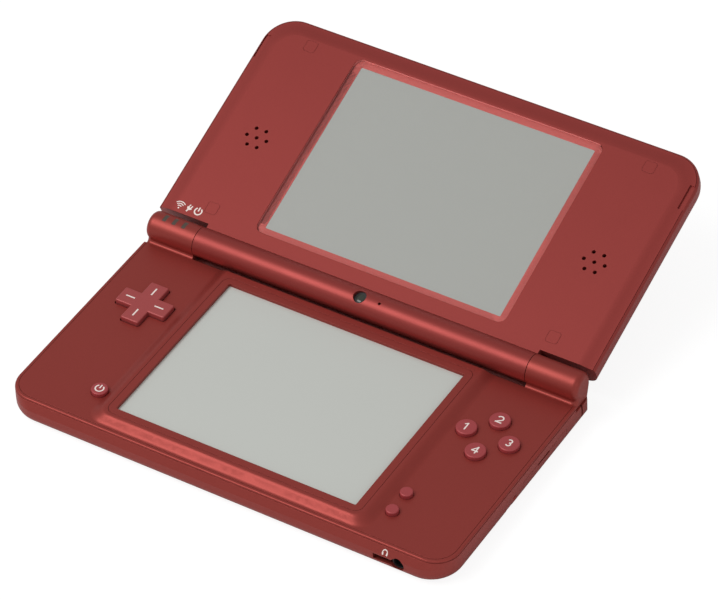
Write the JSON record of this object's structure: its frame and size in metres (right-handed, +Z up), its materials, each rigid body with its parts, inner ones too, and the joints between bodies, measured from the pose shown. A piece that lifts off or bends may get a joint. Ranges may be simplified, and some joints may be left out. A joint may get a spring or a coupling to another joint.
{
  "type": "clamshell handheld game console",
  "caption": "Folding two-screen handheld game console: base with touch screen and keys, lid with the upper screen on a friction hinge.",
  "frame": {"origin": "centre of the base's flat underside", "axes": "+X to the user's right, +Y from the user to the hinge, +Z up; the lid is stored open on its stop"},
  "size_m": [0.161, 0.1681, 0.0428],
  "materials": {
    "casing": "fine satin",
    "deck": "fine satin",
    "lid": "fine satin",
    "button": "satin",
    "stylus": "satin",
    "screen": "anti-glare",
    "display": "anti-glare",
    "window": "polished",
    "border": "printed",
    "rubber": "matt",
    "dark_plastic": "matt",
    "steel": "plain",
    "board": "lacquered",
    "cell": "wrapped",
    "light": "translucent",
    "lens": "coated"
  },
  "bodies": {
    "base": {"lower_shell": "casing", "control_deck": "deck", "deck_rim": "casing", "touch_bezel": "deck", "touch_panel": "screen", "lower_display": "display", "dpad_membrane": "rubber", "face_membrane": "rubber", "start_select_membrane": "rubber", "power_membrane": "rubber", "shoulder_switches": "dark_plastic", "memory_card_socket": "steel", "game_card_socket": "steel", "headphone_jack": "dark_plastic", "headset_connector": "dark_plastic", "charge_port": "dark_plastic", "mainboard": "board", "battery": "cell", "battery_cover": "casing", "battery_cover_screws": "steel", "base_screws": "steel", "status_lights": "light"},
    "lid": {"lid_shell": "lid", "lid_panel": "lid", "hinge_barrel": "lid", "hinge_cartridge": "steel", "hinge_sleeve": "steel", "upper_window": "window", "window_border": "border", "upper_display": "screen", "left_speaker": "dark_plastic", "right_speaker": "dark_plastic", "lid_screw_covers": "lid", "lid_screws": "steel", "inner_camera": "dark_plastic", "inner_camera_lens": "lens", "microphone": "dark_plastic", "outer_camera": "dark_plastic", "outer_camera_window": "lens"},
    "dpad_seat": {"dpad_pivot": "dark_plastic"},
    "dpad_cross": {"d_pad": "button"},
    "face_button_top_body": {"face_button_top": "button"},
    "face_button_right_body": {"face_button_right": "button"},
    "face_button_bottom_body": {"face_button_bottom": "button"},
    "face_button_left_body": {"face_button_left": "button"},
    "start_button_body": {"start_button": "button"},
    "select_button_body": {"select_button": "button"},
    "power_button_body": {"power_button": "button"},
    "right_shoulder": {"right_shoulder_button": "casing"},
    "left_shoulder": {"left_shoulder_button": "casing"},
    "volume_key": {"volume_rocker": "button"},
    "card_door": {"memory_card_door": "casing"},
    "stylus_body": {"stylus": "stylus"}
  },
  "joints": [
    {"name": "lid_hinge", "type": "hinge", "parent": "base", "child": "lid", "pos_m": [0, 0.04045, 0.0132], "axis": [1, 0, 0], "range_deg": [0, 160.3]},
    {"name": "dpad_tilt_x", "type": "hinge", "parent": "base", "child": "dpad_seat", "pos_m": [-0.0626, 0.0098, 0.0069], "axis": [1, 0, 0], "range_deg": [-3, 3], "stiffness_Nm_per_rad": 0.12},
    {"name": "dpad_tilt_y", "type": "hinge", "parent": "dpad_seat", "child": "dpad_cross", "pos_m": [-0.0626, 0.0098, 0.0069], "axis": [0, 1, 0], "range_deg": [-3, 3], "stiffness_Nm_per_rad": 0.12},
    {"name": "face_button_top_press", "type": "slide", "parent": "base", "child": "face_button_top_body", "axis": [0, 0, -1], "range_m": [0, 0.0006], "stiffness_N_per_m": 900},
    {"name": "face_button_right_press", "type": "slide", "parent": "base", "child": "face_button_right_body", "axis": [0, 0, -1], "range_m": [0, 0.0006], "stiffness_N_per_m": 900},
    {"name": "face_button_bottom_press", "type": "slide", "parent": "base", "child": "face_button_bottom_body", "axis": [0, 0, -1], "range_m": [0, 0.0006], "stiffness_N_per_m": 900},
    {"name": "face_button_left_press", "type": "slide", "parent": "base", "child": "face_button_left_body", "axis": [0, 0, -1], "range_m": [0, 0.0006], "stiffness_N_per_m": 900},
    {"name": "start_button_press", "type": "slide", "parent": "base", "child": "start_button_body", "axis": [0, 0, -1], "range_m": [0, 0.0006], "stiffness_N_per_m": 900},
    {"name": "select_button_press", "type": "slide", "parent": "base", "child": "select_button_body", "axis": [0, 0, -1], "range_m": [0, 0.0006], "stiffness_N_per_m": 900},
    {"name": "power_button_press", "type": "slide", "parent": "base", "child": "power_button_body", "axis": [0, 0, -1], "range_m": [0, 0.0006], "stiffness_N_per_m": 900},
    {"name": "right_shoulder_press", "type": "hinge", "parent": "base", "child": "right_shoulder", "pos_m": [0.0519, 0.0423, 0.005], "axis": [0, 0, -1], "range_deg": [0, 1.2], "stiffness_Nm_per_rad": 0.5},
    {"name": "left_shoulder_press", "type": "hinge", "parent": "base", "child": "left_shoulder", "pos_m": [-0.0519, 0.0423, 0.005], "axis": [0, 0, 1], "range_deg": [0, 1.2], "stiffness_Nm_per_rad": 0.5},
    {"name": "volume_rock", "type": "hinge", "parent": "base", "child": "volume_key", "pos_m": [-0.079, 0.0045, 0.0052], "axis": [0, 0, 1], "range_deg": [-1.5, 1.5], "stiffness_Nm_per_rad": 0.12},
    {"name": "card_door_hinge", "type": "hinge", "parent": "base", "child": "card_door", "pos_m": [0.0803, 0.02846, 0.0042], "axis": [0, 0, 1], "range_deg": [0, 100]},
    {"name": "stylus_slide", "type": "slide", "parent": "base", "child": "stylus_body", "axis": [1, 0, 0], "range_m": [0, 0.085]}
  ]
}
